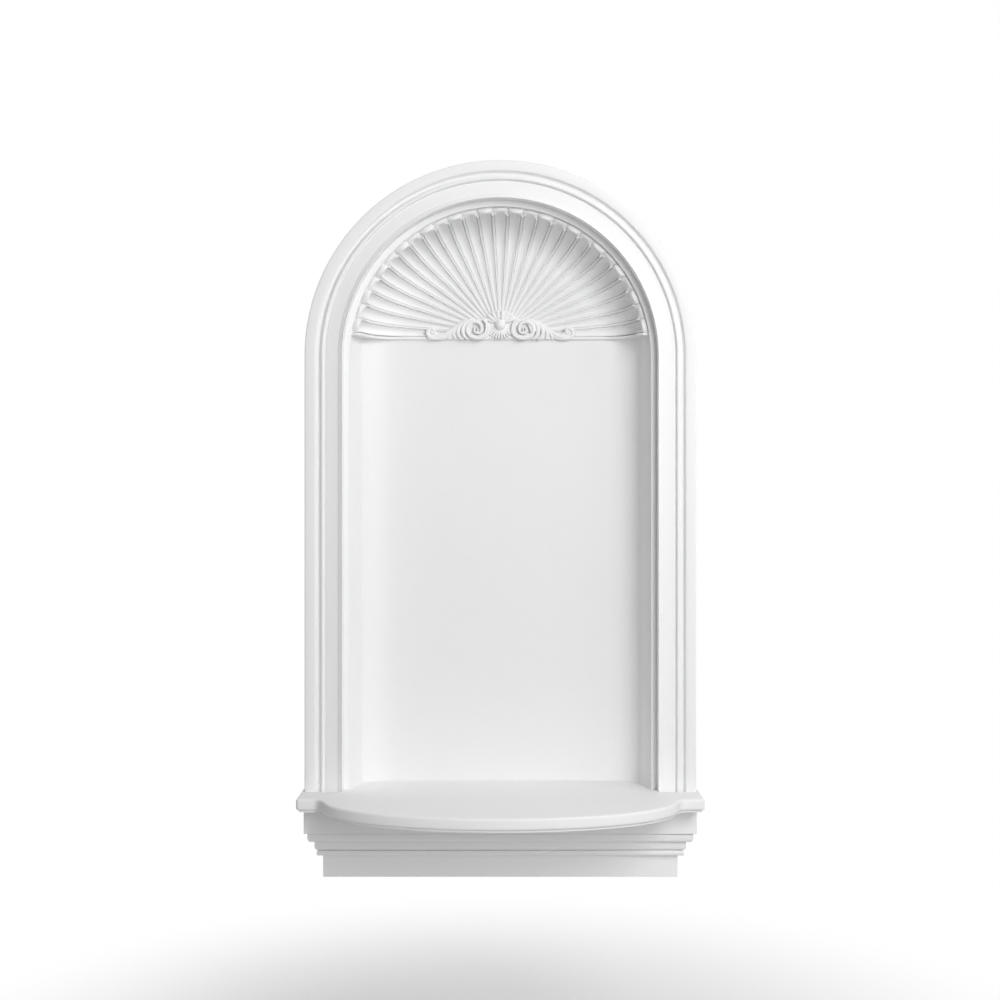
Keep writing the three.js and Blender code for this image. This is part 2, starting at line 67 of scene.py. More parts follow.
class Slot(Enum):
    """Names of the material slots."""

    RECESS = "painted_recess"
    MOULDING = "painted_moulding"
    ORNAMENT = "painted_ornament"


class Kind(Enum):
    """What is selected in edit mode."""

    EDGE = "EDGE"
    FACE = "FACE"


@dataclass(frozen=True)
class Levels:
    """Heights, depths and widths that several pieces share, most of them read off the frame."""

    shelf_under: float
    shelf_top: float
    shelf_half: float
    seat: float
    spring: float
    casing_half: float
    casing_front: float
    flange_half: float
    front: float
    casing_width: float = 73.5 * MM
    ledge_rise: float = 47.5 * MM
    ledge_height: float = 9 * MM

    @classmethod
    def from_frame(cls) -> "Levels":
        """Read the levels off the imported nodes.

        Returns:
            The levels of this niche.
        """
        shelf_low, shelf_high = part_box("shelf")
        casing_low, casing_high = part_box("arched_surround")
        recess_low, recess_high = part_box("recess_shell")
        return cls(
            shelf_under=shelf_low.z,
            shelf_top=shelf_high.z,
            shelf_half=shelf_high.x,
            seat=recess_low.z,
            spring=casing_high.z - casing_high.x,
            casing_half=casing_high.x,
            casing_front=casing_low.y,
            flange_half=recess_high.x,
            front=recess_low.y,
        )


# Modelling helpers


def deselect() -> None:
    """Leave edit mode and deselect every object."""
    if bpy.context.object and bpy.context.object.mode != "OBJECT":
        bpy.ops.object.mode_set(mode="OBJECT")
    bpy.ops.object.select_all(action="DESELECT")


def only(piece: bpy.types.Object) -> bpy.types.Object:
    """Make one object the only selected one and the active one.

    Args:
        piece: The object.

    Returns:
        The same object.
    """
    deselect()
    piece.select_set(True)
    bpy.context.view_layer.objects.active = piece
    return piece


def named(name: str) -> bpy.types.Object:
    """Name the object that an operator has just added.

    Args:
        name: Name of the object and of its data.

    Returns:
        The object.
    """
    piece = bpy.context.object
    piece.name = name
    piece.data.name = name
    return piece


def put_corners(piece: bpy.types.Object, corners: np.ndarray) -> None:
    """Move every corner of a mesh to its place.

    Args:
        piece: The mesh object.
        corners: One row of X, Y and Z for each corner.
    """
    piece.data.vertices.foreach_set("co", np.asarray(corners, np.float32).ravel())
    piece.data.update()


def corners_of(piece: bpy.types.Object) -> np.ndarray:
    """Read the corners of a mesh.

    Args:
        piece: The mesh object.

    Returns:
        One row of X, Y and Z for each corner.
    """
    places = np.zeros(len(piece.data.vertices) * 3, np.float32)
    piece.data.vertices.foreach_get("co", places)
    return places.reshape(-1, 3).astype(float)


def edit(piece: bpy.types.Object, kind: Kind = Kind.EDGE) -> None:
    """Go to edit mode on one object, with all of its mesh selected.

    Args:
        piece: The mesh object.
        kind: Whether edges or faces are selected.
    """
    only(piece)
    bpy.ops.object.mode_set(mode="EDIT")
    bpy.ops.mesh.select_mode(type=kind.value)
    bpy.ops.mesh.select_all(action="SELECT")


def leave_edit() -> None:
    """Go back to object mode."""
    bpy.ops.object.mode_set(mode="OBJECT")


def push(way: Point) -> None:
    """Extrude what is selected along a vector."""
    bpy.ops.mesh.extrude_region_move(TRANSFORM_OT_translate={"value": way})


def pick(piece: bpy.types.Object, kind: Kind, test: Callable[..., bool]) -> None:
    """Select faces or edges by a test on their place, and stay in edit mode.

    Args:
        piece: The mesh object.
        kind: Whether faces or edges are selected.
        test: For a face it gets the centre and the normal, for an edge both ends.
    """
    edit(piece, kind)
    bpy.ops.mesh.select_all(action="DESELECT")
    leave_edit()
    mesh = piece.data
    if kind is Kind.FACE:
        for face in mesh.polygons:
            face.select = test(face.center, face.normal)
    else:
        for edge in mesh.edges:
            edge.select = test(*(mesh.vertices[i].co for i in edge.vertices))
    bpy.ops.object.mode_set(mode="EDIT")


def close_up(piece: bpy.types.Object) -> None:
    """Merge corners at one place, close what is open and turn every face outwards.

    Args:
        piece: The mesh object.
    """
    edit(piece)
    bpy.ops.mesh.remove_doubles(threshold=SAME_POINT)
    bpy.ops.mesh.select_all(action="DESELECT")
    bpy.ops.mesh.select_non_manifold()
    leave_edit()
    is_open = any(edge.select for edge in piece.data.edges)
    bpy.ops.object.mode_set(mode="EDIT")
    if is_open:
        bpy.ops.mesh.edge_face_add()
    bpy.ops.mesh.select_all(action="SELECT")
    bpy.ops.mesh.normals_make_consistent(inside=False)
    leave_edit()


def apply_modifier(piece: bpy.types.Object, kind: str, **settings: object) -> None:
    """Add a modifier with its settings and apply it.

    Args:
        piece: The mesh object.
        kind: The modifier's type.
        settings: Its properties.
    """
    only(piece)
    modifier = piece.modifiers.new(kind.title(), kind)
    for name, value in settings.items():
        setattr(modifier, name, value)
    bpy.ops.object.modifier_apply(modifier=modifier.name)


def smooth(piece: bpy.types.Object, degrees: float) -> None:
    """Shade smooth, with edges sharper than an angle kept crisp."""
    only(piece)
    bpy.ops.object.shade_smooth_by_angle(angle=math.radians(degrees))


def loop_of(name: str, outline: Sequence[Point]) -> bpy.types.Object:
    """A closed loop of edges through given points, started from a circle.

    Args:
        name: Name of the new object.
        outline: The points in order.

    Returns:
        The mesh object, which has edges and no face.
    """
    deselect()
    bpy.ops.mesh.primitive_circle_add(vertices=len(outline), radius=MM, fill_type="NOTHING")
    piece = named(name)
    put_corners(piece, np.array(outline))
    return piece


def slab(name: str, outline: Sequence[Point], way: Point) -> bpy.types.Object:
    """A plate: an outline closed with a face and pushed along a vector.

    Args:
        name: Name of the new object.
        outline: The points of one side in order.
        way: From that side to the other.

    Returns:
        The closed mesh object.
    """
    piece = loop_of(name, outline)
    edit(piece)
    bpy.ops.mesh.edge_face_add()
    push(way)
    leave_edit()
    close_up(piece)
    return piece


def arc(centre: tuple[float, float], radii: tuple[float, float], turn: tuple[float, float],
        steps: int) -> list[tuple[float, float]]:
    """Points along an arc of a circle or an ellipse, both ends included.

    Args:
        centre: The centre in the plane.
        radii: The two half axes.
        turn: First and last angle in degrees.
        steps: How many chords.

    Returns:
        The points in order.
    """
    angles = np.radians(np.linspace(turn[0], turn[1], steps + 1))
    return [(centre[0] + radii[0] * math.cos(a), centre[1] + radii[1] * math.sin(a)) for a in angles]


def hand_in(piece: bpy.types.Object, node: str, material: bpy.types.Material) -> None:
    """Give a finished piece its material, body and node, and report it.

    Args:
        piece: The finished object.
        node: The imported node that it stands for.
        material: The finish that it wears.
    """
    piece.data.materials.clear()
    piece.data.materials.append(material)
    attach(piece, BODY)
    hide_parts(node)
    triangles = sum(len(face.vertices) - 2 for face in piece.data.polygons)
    log.info("%s: %d triangles", piece.name, triangles)


# Finishes


class Flow:
    """A socket's value in a material. Python's operators on it add Math nodes."""

    def __init__(self, maker: "NodeMaker", socket: bpy.types.NodeSocket) -> None:
        """Hold the socket and the tree that it belongs to."""
        self.maker = maker
        self.socket = socket

    def _sum(self, operation: str, first: "Amount", second: "Amount") -> "Flow":
        """Add one Math node and return its value."""
        return self.maker.node("ShaderNodeMath", {"operation": operation}, {0: first, 1: second})

    def __add__(self, other: "Amount") -> "Flow":
        """Self plus other."""
        return self._sum("ADD", self, other)

    def __radd__(self, other: "Amount") -> "Flow":
        """Other plus self."""
        return self._sum("ADD", other, self)

    def __sub__(self, other: "Amount") -> "Flow":
        """Self minus other."""
        return self._sum("SUBTRACT", self, other)

    def __rsub__(self, other: "Amount") -> "Flow":
        """Other minus self."""
        return self._sum("SUBTRACT", other, self)

    def __mul__(self, other: "Amount") -> "Flow":
        """Self times other."""
        return self._sum("MULTIPLY", self, other)

    def __rmul__(self, other: "Amount") -> "Flow":
        """Other times self."""
        return self._sum("MULTIPLY", other, self)

    def __truediv__(self, other: "Amount") -> "Flow":
        """Self over other."""
        return self._sum("DIVIDE", self, other)

    def between(self, low: float, high: float) -> "Flow":
        """How far the value is from one level to another.

        Args:
            low: Where the share is 0.
            high: Where the share is 1.

        Returns:
            The share, which eases in and out.
        """
        settings = {"interpolation_type": "SMOOTHSTEP"}
        inputs = {"Value": self, "From Min": low, "From Max": high}
        return self.maker.node("ShaderNodeMapRange", settings, inputs)


Amount = Union[float, tuple, Flow]


class NodeMaker:
    """Adds nodes to one node tree."""

    def __init__(self, tree: bpy.types.NodeTree) -> None:
        """Hold the tree."""
        self.tree = tree

    def set_input(self, node: bpy.types.Node, key: Union[int, str], value: Amount) -> None:
        """Link or set one input of a node.

        Args:
            node: The node.
            key: Name or number of the socket.
            value: A flow, which is linked, or a value, which is set.
        """
        if isinstance(value, Flow):
            self.tree.links.new(value.socket, node.inputs[key])
        else:
            node.inputs[key].default_value = value

    def node(self, kind: str, settings: dict, inputs: dict, output: Union[int, str] = 0) -> Flow:
        """Add a node.

        Args:
            kind: The node's type.
            settings: Its properties, set first.
            inputs: Values or flows by socket name or number.
            output: The output that is wanted.

        Returns:
            The flow of that output.
        """
        made = self.tree.nodes.new(kind)
        for name, value in settings.items():
            setattr(made, name, value)
        for key, value in inputs.items():
            self.set_input(made, key, value)
        return Flow(self, made.outputs[output])


class PaintTree(NodeMaker):
    """The node tree of one material."""

    def __init__(self, name: str) -> None:
        """Start a material that has only its shader and output.

        Args:
            name: Name of the material.
        """
        self.material = bpy.data.materials.new(name)
        self.material.use_nodes = True
        super().__init__(self.material.node_tree)
        self.shader = self.tree.nodes["Principled BSDF"]
        self.output = self.tree.nodes["Material Output"]


@dataclass(frozen=True)
class FlatWhite:
    """Sprayed flat white paint over a moulded foam piece.

    The spray leaves a fine grain, the mould a faint waviness, and the white is a little uneven.
    """

    name: str
    light: tuple[float, float, float]
    shade: tuple[float, float, float]
    roughness: float
    grain_size: float = 0.9 * MM
    grain_height: float = 0.035 * MM
    wave_size: float = 24 * MM
    wave_height: float = 0.10 * MM
    patch_size: float = 140 * MM
    patch_share: float = 0.5
    grain_share: float = 0.35
    roughness_swing: float = 0.10
    grain_dulling: float = 0.6
    fineness: float = 0.55
    gloss: float = 0.35

    def noise(self, paint: PaintTree, place: Flow, size: float, detail: float) -> Flow:
        """A soft noise whose spots are about the given size."""
        inputs = {"Vector": place, "Scale": 1 / size, "Detail": detail, "Roughness": self.fineness}
        return paint.node("ShaderNodeTexNoise", {}, inputs, "Fac")

    def material(self) -> bpy.types.Material:
        """Build the material.

        Returns:
            The material, ready to be put on a piece.
        """
        paint = PaintTree(self.name)
        place = paint.node("ShaderNodeTexCoord", {}, {}, "Object")
        patches = self.noise(paint, place, self.patch_size, detail=3.0)
        grain = self.noise(paint, place, self.grain_size, detail=2.0)
        waves = self.noise(paint, place, self.wave_size, detail=1.0)
        wave_share = 1 - self.patch_share - self.grain_share
        share = self.patch_share * patches + self.grain_share * grain + wave_share * waves
        colour = paint.node(
            "ShaderNodeMix", {"data_type": "RGBA"},
            {"Factor": share, "A": (*self.shade, 1.0), "B": (*self.light, 1.0)}, "Result",
        )
        paint.set_input(paint.shader, "Base Color", colour)
        dulling = self.grain_dulling * grain + (1 - self.grain_dulling) * patches
        swing = (dulling - 0.5) * (2 * self.roughness_swing)
        paint.set_input(paint.shader, "Roughness", swing + self.roughness)
        height = grain * self.grain_height + waves * self.wave_height
        bump = paint.node(
            "ShaderNodeBump", {}, {"Strength": 1.0, "Distance": 1.0, "Height": height}, "Normal"
        )
        paint.set_input(paint.shader, "Normal", bump)
        paint.set_input(paint.shader, "Specular IOR Level", self.gloss)
        return paint.material


# The recess


@dataclass
class Recess:
    """The recess and its fluted shell head, moulded in one, as one closed grid.

    Each column of the grid is a section: from the middle of the back out to the front lip, round the
    flange and back behind the wall to the middle. The columns go up the left wall, over the ledge,
    across the fan of flutes and down the right wall.

    The rims are rows of radius and depth in millimetres, from the carved shell out to the edge of the
    mouth. The ledge's profile is rows of how far it stands out and how high up it that is, as shares.
    The places are columns across half a flute, counted from its fillet.
    """

    levels: Levels
    mouth_half: float = 297 * MM
    depth: float = 80 * MM
    side_depth: float = 40 * MM
    side_splay: float = 16 * MM
    corner_width: float = 64 * MM
    wall: float = 8 * MM
    rim: float = 281 * MM
    flute_count: int = 27
    flute_depth: float = 5.6 * MM
    flute_scoop: float = 0.45
    scoop_power: int = 4
    flat_share: float = 0.72
    outer_flat_share: float = 0.6
    fillet_share: float = 0.27
    bead_share: float = 0.13
    bead_fade: float = 0.6
    fillet_growth: float = 0.9
    bead_height: float = 2.2 * MM
    quirk_depth: float = 3.0 * MM
    lobe_fullness: float = 0.55
    lip_ease: int = 5
    ledge_reach: float = 5 * MM
    edge_round: float = 0.9 * MM
    edge_cut: float = 0.27 * MM
    flat_shares: tuple[float, ...] = (0, 0.05, 0.1, 0.16, 0.24, 0.34, 0.46, 0.6, 0.72)
    curve_rows: int = 24
    corner_row_share: float = 0.65
    rim_depth: float = 8.5 * MM
    outer_rows: int = 8
    column_gap: float = 0.005
    crease_angle: float = 34
    places: tuple[float, ...] = (
        0, 0.02, 0.04, 0.055, 0.065, 0.08, 0.095, 0.11, 0.125, 0.135, 0.16, 0.19, 0.22, 0.26, 0.31, 0.37,
        0.43,
    )
    cusp_rim: tuple[tuple[float, float], ...] = (
        (282.2, 8.8), (283.6, 9.8), (285.0, 10.4), (286.4, 10.6), (287.8, 10.2), (289.0, 9.2), (290.0, 7.6),
        (290.8, 5.8), (291.6, 4.8), (292.6, 4.8), (293.8, 6.0), (295.2, 7.2), (296.4, 7.4), (297.0, 6.0),
    )
    folded_rim: tuple[tuple[float, float], ...] = (
        (286.0, 7.0), (285.2, 5.4), (284.6, 3.4), (284.4, 1.2), (284.6, -0.8), (285.2, -2.6), (286.2, -3.9),
        (287.5, -4.3), (289.2, -3.9), (291.2, -2.9), (293.2, -1.5), (294.9, 0.2), (295.9, 2.2), (297.0, 3.4),
    )
    plain_rim: tuple[tuple[float, float], ...] = (
        (287.2, 7.6), (287.6, 6.6), (288.0, 5.4), (288.5, 4.0), (289.1, 2.6), (289.9, 1.4), (290.9, 0.6),
        (292.0, 0.2), (293.1, 0.4), (294.1, 1.0), (295.0, 2.0), (295.8, 3.4), (296.5, 4.8), (297.0, 4.6),
    )
    ledge_profile: tuple[tuple[float, float], ...] = (
        (0, 0), (0.5, 0.015), (0.9, 0.05), (1.0, 0.13), (1.0, 0.34), (1.0, 0.56), (0.94, 0.62), (0.5, 0.67),
        (0.46, 0.73), (0.86, 0.79), (0.98, 0.85), (1.0, 0.92), (0.96, 1.0),
    )

    def __post_init__(self) -> None:
        """Work out the levels of the ledge and the pole of the fan."""
        base = self.levels.spring + self.levels.ledge_rise
        self.ledge_top = base + self.levels.ledge_height / 2
        self.ledge_under = base - self.levels.ledge_height / 2
        self.pole_rise = self.ledge_top - self.levels.spring
        self.first_turn = math.asin(self.levels.ledge_rise / self.rim)
        self.pitch = (math.pi - 2 * self.first_turn) / self.flute_count
        last_angle = math.asin(self.rim_depth / self.depth)
        self.row_angles = np.linspace(math.pi / 2, last_angle, self.curve_rows + 1)[1:]
        self.shell_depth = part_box("recess_shell")[1].y

    def section_tail(self, front_x: float, flange_x: float) -> list[tuple[float, float]]:
        """The front edge of a section and the flange, as distance and depth.

        Args:
            front_x: Distance of the front lip from the middle.
            flange_x: Distance of the flange's edge.

        Returns:
            The points after the last lip row, up to the flange's back edge.
        """
        front = self.levels.front
        rounding = self.edge_round
        return [
            (front_x, front + rounding),
            (front_x + self.edge_cut, front + self.edge_cut),
            (front_x + rounding, front),
            (flange_x - rounding, front),
            (flange_x, front + rounding),
            (flange_x, 0.0),
        ]

    def outer_plan(self) -> list[tuple[float, float]]:
        """The outside of the straight walls in plan.

        Returns:
            Distance and depth of each point, from the flange to the middle of the back.
        """
        mouth = self.mouth_half + self.wall
        crease = mouth - self.side_splay
        back = crease - self.corner_width
        crease_y = self.side_depth + self.wall
        corner = arc((back, crease_y), (self.corner_width, self.depth - self.side_depth), (0, 90),
                     self.outer_rows - 1)
        return [(mouth, 0.0), *corner, (back / 2, self.depth + self.wall), (0.0, self.depth + self.wall)]

    def wall_section(self, level: float) -> np.ndarray:
        """The section of a straight side wall at one level.

        Args:
            level: Height of the section.

        Returns:
            One row of distance and depth for each row of the grid.
        """
        rise = max(0.0, level - self.levels.spring)
        crease = self.mouth_half - self.side_splay
        back = crease - self.corner_width
        inner = [(back * share / self.flat_share, self.depth) for share in self.flat_shares]
        corner_rows = round(self.curve_rows * self.corner_row_share)
        radii = (self.corner_width, self.depth - self.side_depth)
        inner += arc((back, self.side_depth), radii, (90, 0), corner_rows)[1:]
        wall_depths = np.linspace(self.side_depth, self.rim_depth, self.curve_rows - corner_rows + 1)[1:]
        rim_depths = np.linspace(self.rim_depth, 0.0, len(self.cusp_rim) + 1)[1:]
        for depth in (*wall_depths, *rim_depths):
            inner.append((self.mouth_half - self.side_splay * depth / self.side_depth, depth))
        tail = self.section_tail(self.mouth_half, self.levels.flange_half)
        lip, flange = tail[:3], tail[3:]
        arch_inner, arch_outer, arch_flange = (
            math.sqrt(radius ** 2 - rise ** 2)
            for radius in (self.mouth_half, self.mouth_half + self.wall, self.levels.flange_half)
        )
        points = []
        for x, y in inner + lip:
            edge = self.edge_round if y <= self.levels.front else 0.0
            points.append((min(x, arch_inner + edge), y))
        points += [(min(x, arch_flange), y) for x, y in flange]
        points += [(min(x, arch_outer), y) for x, y in self.outer_plan()]
        return np.array(points)

    def fan_direction(self, place: float) -> np.ndarray:
        """Direction from the pole to the rim at a place across the fan.

        Args:
            place: Place counted in flutes.

        Returns:
            The unit vector in X and Z.
        """
        turn = math.pi - self.first_turn - place * self.pitch
        target = np.array([math.cos(turn), math.sin(turn)]) * self.rim
        target[1] -= self.pole_rise
        return target / np.linalg.norm(target)

    def reach(self, direction: np.ndarray, radius: float) -> float:
        """Distance from the pole to a circle about the spring centre, along a direction."""
        along = direction[1] * self.pole_rise
        return -along + math.sqrt(along ** 2 + radius ** 2 - self.pole_rise ** 2)

    def carve(self, place: float, share: float) -> tuple[float, float]:
        """Carving at a place across the fan.

        Args:
            place: Place counted in flutes, with a fillet at every whole number.
            share: How far out from the pole, where 1 is the rim. The fillets widen towards the pole.

        Returns:
            Share of the flute's depth, and how far the fillet is cut in. Its bead's crest is not cut.
        """
        off = abs(place - round(place))
        widening = 1 + self.fillet_growth * (1 - share)
        half_fillet = widening * self.fillet_share / 2
        half_bead = widening * self.bead_share / 2
        if off >= half_fillet:
            across = (off - half_fillet) / (0.5 - half_fillet)
            return 1 - (1 - across) ** 2, self.bead_height
        if off >= half_bead:
            between = (off - half_bead) / (half_fillet - half_bead)
            return 0.0, self.bead_height + self.quirk_depth * math.sin(math.pi * between)
        return 0.0, self.bead_height * (1 - math.sqrt(1 - (off / half_bead) ** 2))

    def rim_points(self, place: float, start: float) -> list[tuple[float, float]]:
        """The lip of the shell at a place across the fan, out to the edge of the mouth.

        Each flute ends in a lobe. Every other lobe is folded over. A small crevice parts the lobes from
        the edge of the mouth, and it is widest at the cusps between them.

        Args:
            place: Place counted in flutes.
            start: Radius at which the carved shell ends.

        Returns:
            Radius about the spring centre and depth of each row.
        """
        swell = math.sin(math.pi * (place - math.floor(place))) ** self.lobe_fullness
        number = math.floor(place) - self.flute_count // 2
        lobe = self.folded_rim if number % 2 else self.plain_rim
        points = []
        for row, (cusp, crest) in enumerate(zip(self.cusp_rim, lobe), start=1):
            radius = (cusp[0] + (crest[0] - cusp[0]) * swell) * MM
            depth = (cusp[1] + (crest[1] - cusp[1]) * swell) * MM
            held = max(0.0, 1 - row / self.lip_ease)
            points.append((start * held + radius * (1 - held), depth))
        return points

    def fan_section(self, place: float, is_carved: bool = True) -> tuple[np.ndarray, np.ndarray]:
        """The section of the shell at a place across the fan.

        Args:
            place: Place counted in flutes.
            is_carved: Whether the flutes and fillets are cut into it.

        Returns:
            The direction in X and Z, and one row of distance from the pole and depth for each row.
        """
        direction = self.fan_direction(place)
        radius = self.reach(direction, self.rim)
        points = []
        shares = [(share, 0.0) for share in self.flat_shares]
        shares += [
            (self.flat_share + (1 - self.flat_share) * math.cos(a), math.cos(a)) for a in self.row_angles
        ]
        for share, curved in shares:
            height = math.sqrt(max(0.0, 1 - curved * curved))
            outward = self.normal(curved, height, radius)
            flute, bead = self.carve(place, share) if is_carved else (0.0, 0.0)
            hollow = (1 - self.flute_scoop) * share + self.flute_scoop * share ** self.scoop_power
            cut = self.flute_depth * hollow * flute + bead * share ** self.bead_fade
            points.append((share * radius + outward[0] * cut, self.depth * height + outward[1] * cut))
        flute, bead = self.carve(place, 1.0) if is_carved else (0.0, 0.0)
        outer = self.mouth_half + self.wall
        flat = outer * self.outer_flat_share
        around = [
            *self.rim_points(place, self.rim + self.flute_depth * flute + bead),
            *self.section_tail(self.mouth_half, self.levels.flange_half),
            *arc((flat, 0.0), (outer - flat, self.shell_depth), (0, 90), self.outer_rows),
        ]
        points += [(self.reach(direction, r), y) for r, y in around]
        points += [(points[-1][0] / 2, self.shell_depth), (0.0, self.shell_depth)]
        return direction, np.array(points)

    def normal(self, curved: float, height: float, radius: float) -> np.ndarray:
        """Unit vector into the shell, as distance and depth, at a place on its curve."""
        outward = np.array([self.depth * curved, radius * (1 - self.flat_share) * height])
        return outward / np.linalg.norm(outward)

    def ledge_sections(self) -> list[tuple[np.ndarray, float]]:
        """Sections of the ledge, from the wall below it to its top edge.

        Returns:
            Each section's rows of distance and depth, and its level.
        """
        _, foot = self.fan_section(self.first_place(), is_carved=False)
        low = self.wall_section(self.ledge_under)
        curve_end = len(self.flat_shares) + self.curve_rows
        inner = curve_end + len(self.cusp_rim)
        radius = self.reach(np.array([-1.0, 0.0]), self.rim)
        edge = low.copy()
        for row in range(inner):
            curved = 0.0
            if row >= len(self.flat_shares):
                curved = math.cos(self.row_angles[min(row, curve_end - 1) - len(self.flat_shares)])
            outward = self.normal(curved, math.sqrt(max(0.0, 1 - curved * curved)), radius)
            reach = self.ledge_reach * (1 - min(1.0, max(0.0, (row - curve_end) / len(self.cusp_rim))))
            edge[row] = foot[row] - outward * reach
        edge[0][0] = 0.0
        edge[inner:inner + 3] = foot[inner:inner + 3]
        sections = []
        for share, rise in self.ledge_profile:
            level = self.ledge_under + self.levels.ledge_height * rise
            sections.append((low + (edge - low) * share, level))
        return sections

    def first_place(self) -> float:
        """Place across the fan where the ray along the ledge meets the rim."""
        return (math.asin(self.pole_rise / self.rim) - self.first_turn) / self.pitch

    def half_columns(self) -> list[np.ndarray]:
        """Columns of the left half of the grid.

        Returns:
            Each column's rows of X, Y and Z, from the foot to the middle of the fan.
        """
        spring = self.levels.spring
        levels = (
            self.levels.seat, self.levels.shelf_top, spring / 2, spring, (spring + self.ledge_under) / 2
        )
        sections = [(self.wall_section(level), level) for level in levels] + self.ledge_sections()
        columns = [
            np.column_stack([-points[:, 0], points[:, 1], np.full(len(points), level)])
            for points, level in sections
        ]
        first = self.first_place()
        middle = self.flute_count / 2
        across = sorted({
            round(flute + side * place, 6)
            for flute in range(self.flute_count + 1)
            for place in self.places
            for side in (-1, 1)
        })
        gap = self.column_gap
        between = [place for place in across if first + gap < place < middle - gap]
        for place in (first, *between, middle):
            direction, points = self.fan_section(place)
            x = direction[0] * points[:, 0]
            z = self.ledge_top + direction[1] * points[:, 0]
            columns.append(np.column_stack([x, points[:, 1], z]))
        return columns

    def build(self) -> bpy.types.Object:
        """Model the recess.

        Returns:
            The finished mesh object.
        """
        left = self.half_columns()
        mirrored = [column * np.array([-1.0, 1.0, 1.0]) for column in reversed(left[:-1])]
        columns = np.array(left + mirrored)
        across, along = columns.shape[:2]
        deselect()
        bpy.ops.mesh.primitive_grid_add(x_subdivisions=across - 1, y_subdivisions=along - 1, size=1)
        piece = named("fluted_recess")
        start = corners_of(piece)
        column = np.rint((start[:, 0] + 0.5) * (across - 1)).astype(int)
        row = np.rint((start[:, 1] + 0.5) * (along - 1)).astype(int)
        put_corners(piece, columns[column, row])
        close_up(piece)
        smooth(piece, self.crease_angle)
        return piece


# The casing


@dataclass
class Casing:
    """The moulded casing: one section drawn at the foot, run up, spun over the arch and down again.

    The inner edge and the bead with its cove are rows of place across and height over the fascia, in
    millimetres.
    """

    levels: Levels
    band_width: float = 19.5 * MM
    cove_width: float = 9 * MM
    bead_width: float = 10 * MM
    fascia_depth: float = 26 * MM
    fascia_step: float = 2.5 * MM
    arris: float = 1.0 * MM
    arris_steps: int = 4
    groove: tuple[tuple[float, float], ...] = ((0, -1.9), (1.5, -2.1))
    outer_round: float = 2.2 * MM
    outer_steps: int = 6
    inner_edge: tuple[tuple[float, float], ...] = (
        (0, 4.2), (0.25, 5.0), (0.7, 5.5), (1.3, 5.3), (3.3, 3.0), (3.6, 2.8), (6.0, 2.7), (6.4, 2.5),
        (9.0, 0.1), (9.6, 0),
    )
    bead_and_cove: tuple[tuple[float, float], ...] = (
        (0, -1.2), (0.3, 0.8), (0.9, 2.4), (1.8, 3.6), (2.9, 4.3), (4.2, 4.5), (5.5, 4.2), (6.8, 3.3),
        (8.0, 2.0), (9.0, 0.6), (9.9, -0.5), (10.9, -1.3), (12.1, -1.8), (13.3, -1.7), (14.4, -1.1),
        (15.4, 0.0), (16.3, 1.5), (17.0, 3.2), (17.5, 4.6), (18.2, 5.4),
    )
    rebate: tuple[float, float] = (6.3 * MM, 21.8 * MM)
    arch_steps: int = 128
    crease_angle: float = 38

    def section(self) -> list[tuple[float, float]]:
        """The section of the casing.

        Returns:
            Distance from the inner edge and distance in front of the wall of each point.
        """
        width = self.levels.casing_width
        band = width - self.band_width
        bead = band - self.cove_width - self.bead_width
        step = bead - self.fascia_step
        face, front = self.fascia_depth, -self.levels.casing_front
        arris, outer = self.arris, self.outer_round
        points = [(self.rebate[1], 0.0), (self.rebate[1], self.rebate[0]), (0.0, self.rebate[0])]
        points += [(x * MM, face + rise * MM) for x, rise in self.inner_edge]
        points += arc((step - arris, face - arris), (arris, arris), (90, 0), self.arris_steps)
        points += [(step + x * MM, face + rise * MM) for x, rise in self.groove]
        points += [(bead + x * MM, face + rise * MM) for x, rise in self.bead_and_cove]
        points += arc((band + arris, front - arris), (arris, arris), (180, 90), self.arris_steps)[1:]
        points += arc((width - outer, front - outer), (outer, outer), (90, 0), self.outer_steps)
        points += [(width, 0.0)]
        return points

    def build(self) -> bpy.types.Object:
        """Model the casing.

        Returns:
            The finished mesh object.
        """
        inner = self.levels.casing_half - self.levels.casing_width
        outline = [(-inner - across, -depth, self.levels.seat) for across, depth in self.section()]
        piece = loop_of("arched_casing", outline)
        leg = self.levels.spring - self.levels.seat
        edit(piece)
        push((0, 0, leg))
        bpy.ops.mesh.spin(
            steps=self.arch_steps, angle=math.pi, center=(0, 0, self.levels.spring), axis=(0, -1, 0)
        )
        push((0, 0, -leg))
        leave_edit()
        self.close_feet(piece)
        smooth(piece, self.crease_angle)
        return piece

    def close_feet(self, piece: bpy.types.Object) -> None:
        """Close the foot of each leg with a face and turn all faces outwards.

        Args:
            piece: The casing with open feet.
        """
        edit(piece)
        bpy.ops.mesh.remove_doubles(threshold=SAME_POINT)
        leave_edit()
        seat = self.levels.seat + NEAR
        for side in (-1, 1):
            pick(piece, Kind.EDGE, lambda a, b: max(a.z, b.z) < seat and side * a.x > 0)
            bpy.ops.mesh.edge_face_add()
        close_up(piece)


# The shelf


